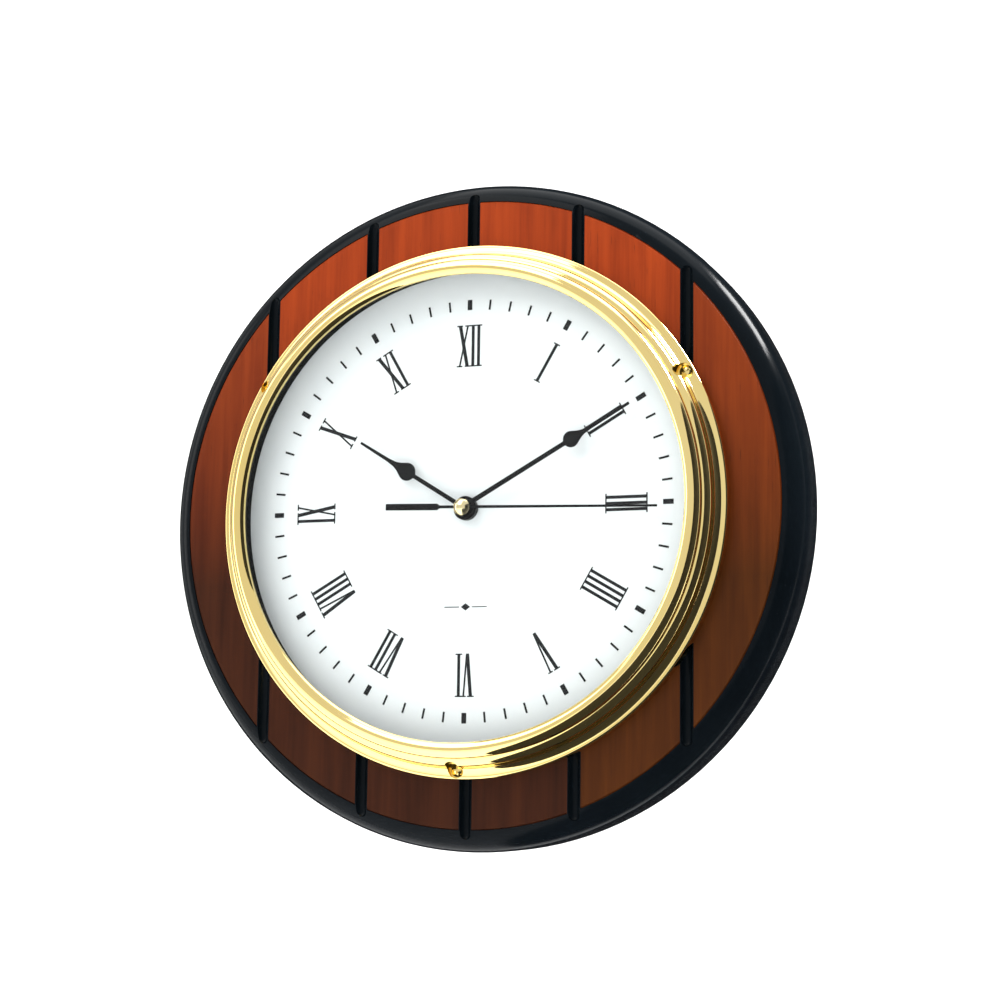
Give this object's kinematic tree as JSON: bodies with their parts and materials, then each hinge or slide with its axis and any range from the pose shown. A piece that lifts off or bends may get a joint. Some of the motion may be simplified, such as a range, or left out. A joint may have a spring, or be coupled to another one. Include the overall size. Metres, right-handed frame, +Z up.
{
  "type": "ship's deck clock",
  "caption": "Round planked plaque with a lacquered rim, carrying a brass porthole wall clock with a white Roman dial and a battery movement.",
  "frame": {"origin": "centre of the wall plane (the board's back face), on the axis the hands turn about", "axes": "+Z up, towards twelve on the dial; +Y into the wall, so the dial faces -Y; +X to the right of someone reading the dial"},
  "size_m": [0.235, 0.036, 0.235],
  "materials": {
    "lacquer": "gloss black lacquer on the turned wooden board",
    "plank_wood": "satin reddish-brown stain and varnish",
    "polished_brass": "polished and lacquered",
    "screw_brass": "polished",
    "glass": "clear flat glass",
    "gasket": "matt black",
    "dial_white": "satin white enamel",
    "ink": "black printing ink",
    "hand_black": "satin black lacquer",
    "cap_brass": "polished pale brass",
    "black_plastic": "fine moulded texture",
    "white_plastic": "natural acetal",
    "rubber": "matt black",
    "steel": "zinc-plated steel",
    "core_steel": "bare soft-iron sheet",
    "copper_wire": null,
    "circuit": "green solder mask on laminate",
    "contact_metal": "nickel-plated brass spring strip",
    "cell_jacket": "printed metal jacket, plain bands",
    "train_brass": "machined"
  },
  "bodies": {
    "clock": {"backboard": "lacquer", "plank_1": "plank_wood", "plank_2": "plank_wood", "plank_3_upper": "plank_wood", "plank_3_lower": "plank_wood", "plank_4_upper": "plank_wood", "plank_4_lower": "plank_wood", "plank_5": "plank_wood", "plank_6": "plank_wood", "hanger_plate": "steel", "hanger_screws": "steel", "case_ring": "polished_brass", "case_screws": "screw_brass", "glass_bezel": "polished_brass", "glass": "glass", "glass_gasket": "gasket", "dial": "dial_white", "dial_print": "ink", "movement_cup": "black_plastic", "movement_plate": "black_plastic", "train_bridge": "white_plastic", "rubber_washer": "rubber", "collar_nut": "black_plastic", "stator": "core_steel", "coil_core": "core_steel", "coil_bobbin": "white_plastic", "coil_winding": "copper_wire", "circuit_board": "circuit", "driver_chip": "black_plastic", "quartz_crystal": "steel", "positive_contact": "contact_metal", "negative_contact": "contact_metal", "battery": "cell_jacket"},
    "minute_train": {"minute_hand": "hand_black", "minute_pipe": "train_brass"},
    "hour_train": {"hour_hand": "hand_black", "hour_wheel": "train_brass"},
    "second_train": {"second_hand": "hand_black", "hand_cap": "cap_brass", "second_wheel": "white_plastic"},
    "third_train": {"third_wheel": "white_plastic"},
    "centre_train": {"centre_wheel": "white_plastic"},
    "intermediate_train": {"intermediate_wheel": "white_plastic"},
    "rotor_train": {"rotor": "steel"},
    "minute_wheel_train": {"minute_wheel": "white_plastic"},
    "setting_train": {"setting_knob": "white_plastic"}
  },
  "joints": [
    {"name": "minute_hand_turn", "type": "hinge", "parent": "clock", "child": "minute_train", "pos_m": [0, -0.0225, 0], "axis": [0, 1, 0], "continuous": true},
    {"name": "hour_hand_turn", "type": "hinge", "parent": "clock", "child": "hour_train", "pos_m": [0, -0.0225, 0], "axis": [0, 1, 0], "continuous": true},
    {"name": "second_hand_turn", "type": "hinge", "parent": "clock", "child": "second_train", "pos_m": [0, -0.0225, 0], "axis": [0, 1, 0], "continuous": true},
    {"name": "centre_wheel_turn", "type": "hinge", "parent": "clock", "child": "centre_train", "pos_m": [0, -0.0163, 0], "axis": [0, 1, 0], "continuous": true},
    {"name": "third_wheel_turn", "type": "hinge", "parent": "clock", "child": "third_train", "pos_m": [-0.00904, -0.0152, 0.00159], "axis": [0, 1, 0], "continuous": true},
    {"name": "intermediate_wheel_turn", "type": "hinge", "parent": "clock", "child": "intermediate_train", "pos_m": [0.00612, -0.013, 0.00729], "axis": [0, 1, 0], "continuous": true},
    {"name": "rotor_turn", "type": "hinge", "parent": "clock", "child": "rotor_train", "pos_m": [0.00998, -0.0115, 0.01189], "axis": [0, 1, 0], "continuous": true},
    {"name": "minute_wheel_turn", "type": "hinge", "parent": "clock", "child": "minute_wheel_train", "pos_m": [-0.00328, -0.018, 0.00902], "axis": [0, 1, 0], "continuous": true},
    {"name": "setting_knob_turn", "type": "hinge", "parent": "clock", "child": "setting_train", "pos_m": [-0.0116, -0.0105, 0.01382], "axis": [0, 1, 0], "continuous": true}
  ],
  "couplings": [
    {"joint": "hour_hand_turn", "follows": "minute_hand_turn", "ratio": 0.083333},
    {"joint": "second_hand_turn", "follows": "minute_hand_turn", "ratio": 60},
    {"joint": "centre_wheel_turn", "follows": "minute_hand_turn", "ratio": 1},
    {"joint": "third_wheel_turn", "follows": "minute_hand_turn", "ratio": -8},
    {"joint": "intermediate_wheel_turn", "follows": "minute_hand_turn", "ratio": -360},
    {"joint": "rotor_turn", "follows": "minute_hand_turn", "ratio": 1800},
    {"joint": "minute_wheel_turn", "follows": "minute_hand_turn", "ratio": -0.33333},
    {"joint": "setting_knob_turn", "follows": "minute_hand_turn", "ratio": 1}
  ]
}
